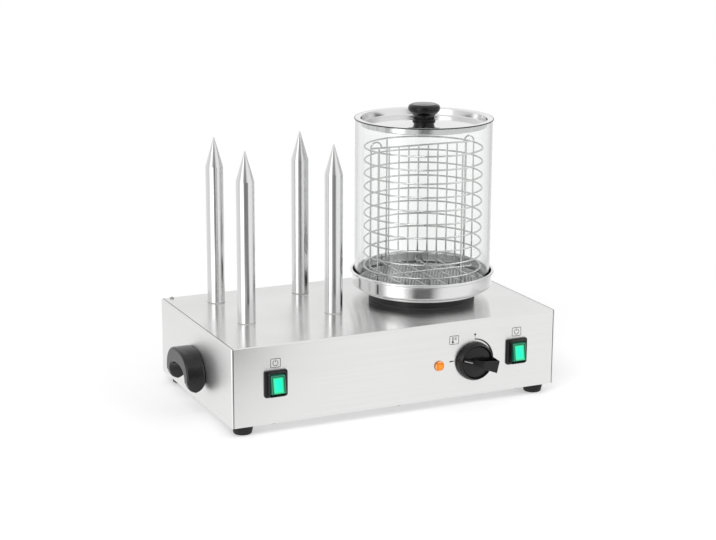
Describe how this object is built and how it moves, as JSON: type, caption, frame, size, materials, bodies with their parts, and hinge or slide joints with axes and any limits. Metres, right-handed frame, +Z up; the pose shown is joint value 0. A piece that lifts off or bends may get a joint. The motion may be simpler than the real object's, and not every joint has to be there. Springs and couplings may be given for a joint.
{
  "type": "hot dog toaster",
  "caption": "Counter-top hot dog toaster with heated bun spikes and a glass steamer that holds a wire basket over a water pan.",
  "frame": {"origin": "on the table under the middle of the casing", "axes": "+Z up, the control panel faces -Y, +X to the right of someone facing the panel"},
  "size_m": [0.544, 0.334, 0.4052],
  "materials": {
    "brushed_steel": "brushed stainless sheet",
    "side_steel": "brushed stainless sheet, grain along the depth",
    "base_steel": "mill-finish sheet",
    "spike_steel": "turned and polished stainless tube",
    "pan_steel": "spun stainless, polished",
    "tray_steel": "perforated stainless sheet",
    "lid_steel": "polished stainless",
    "wire_chrome": "chromed round wire",
    "fastener_steel": "zinc-plated",
    "black_bakelite": "moulded, satin gloss",
    "black_knob": "moulded, gloss",
    "black_housing": "fine matte",
    "foot_rubber": "matte",
    "cast_plate": "dark heat-proof coating",
    "silicone_seal": "silicone",
    "heater_sheath": "oxidised heater sheath",
    "brass": "bright",
    "green_lens": "clear tinted, lit",
    "orange_lens": "clear tinted",
    "orange_body": "moulded",
    "ceramic_body": "heat-proof moulding",
    "wire_insulation": "silicone insulation",
    "clear_glass": "clear, polished"
  },
  "bodies": {
    "chassis": {"top_cover": "brushed_steel", "left_side_panel": "side_steel", "right_side_panel": "side_steel", "bottom_plate": "base_steel", "bottom_screws": "fastener_steel", "foot_front_left": "foot_rubber", "foot_front_right": "foot_rubber", "foot_back_left": "foot_rubber", "foot_back_right": "foot_rubber", "foot_screws": "fastener_steel", "left_handle": "black_bakelite", "right_handle": "black_bakelite", "handle_screws": "fastener_steel", "deck_screws": "fastener_steel", "heating_plate": "cast_plate", "heating_plate_seal": "silicone_seal", "ring_heater": "heater_sheath", "heater_clamp": "base_steel", "heater_clamp_nut": "fastener_steel", "spike_back_left": "spike_steel", "spike_front_left": "spike_steel", "spike_back_right": "spike_steel", "spike_front_right": "spike_steel", "cartridge_back_left": "heater_sheath", "cartridge_front_left": "heater_sheath", "cartridge_back_right": "heater_sheath", "cartridge_front_right": "heater_sheath", "spike_seals": "silicone_seal", "spike_washers": "fastener_steel", "spike_nuts": "fastener_steel", "left_switch_housing": "black_housing", "right_switch_housing": "black_housing", "lamp_body": "orange_body", "lamp_lens": "orange_lens", "lamp_nut": "fastener_steel", "thermostat": "ceramic_body", "thermostat_screws": "fastener_steel", "thermostat_probe": "brass", "terminal_block": "ceramic_body", "terminal_screws": "brass", "cable_gland": "black_housing", "gland_nut": "black_housing", "earth_stud": "brass", "wiring_loom": "wire_insulation"},
    "pan": {"water_pan": "pan_steel"},
    "tray": {"perforated_tray": "tray_steel"},
    "glass": {"glass_cylinder": "clear_glass"},
    "basket": {"basket": "wire_chrome"},
    "lid": {"lid": "lid_steel", "lid_knob": "black_knob", "lid_screw": "fastener_steel"},
    "left_rocker": {"left_rocker": "green_lens"},
    "right_rocker": {"right_rocker": "green_lens"},
    "knob": {"thermostat_knob": "black_knob", "thermostat_shaft": "fastener_steel"}
  },
  "joints": [
    {"name": "pan_lift", "type": "slide", "parent": "chassis", "child": "pan", "axis": [0, 0, 1], "range_m": [0, 0.08]},
    {"name": "tray_lift", "type": "slide", "parent": "pan", "child": "tray", "axis": [0, 0, 1], "range_m": [0, 0.05]},
    {"name": "glass_lift", "type": "slide", "parent": "tray", "child": "glass", "axis": [0, 0, 1], "range_m": [0, 0.08]},
    {"name": "basket_lift", "type": "slide", "parent": "glass", "child": "basket", "axis": [0, 0, 1], "range_m": [0, 0.26]},
    {"name": "lid_lift", "type": "slide", "parent": "basket", "child": "lid", "axis": [0, 0, 1], "range_m": [0, 0.08]},
    {"name": "left_rocker_tilt", "type": "hinge", "parent": "chassis", "child": "left_rocker", "pos_m": [-0.183, -0.1445, 0.0695], "axis": [1, 0, 0], "range_deg": [0, 20]},
    {"name": "right_rocker_tilt", "type": "hinge", "parent": "chassis", "child": "right_rocker", "pos_m": [0.183, -0.1445, 0.0695], "axis": [1, 0, 0], "range_deg": [0, 20]},
    {"name": "thermostat_turn", "type": "hinge", "parent": "chassis", "child": "knob", "pos_m": [0.1155, -0.15, 0.0635], "axis": [0, -1, 0], "range_deg": [0, 270]}
  ]
}
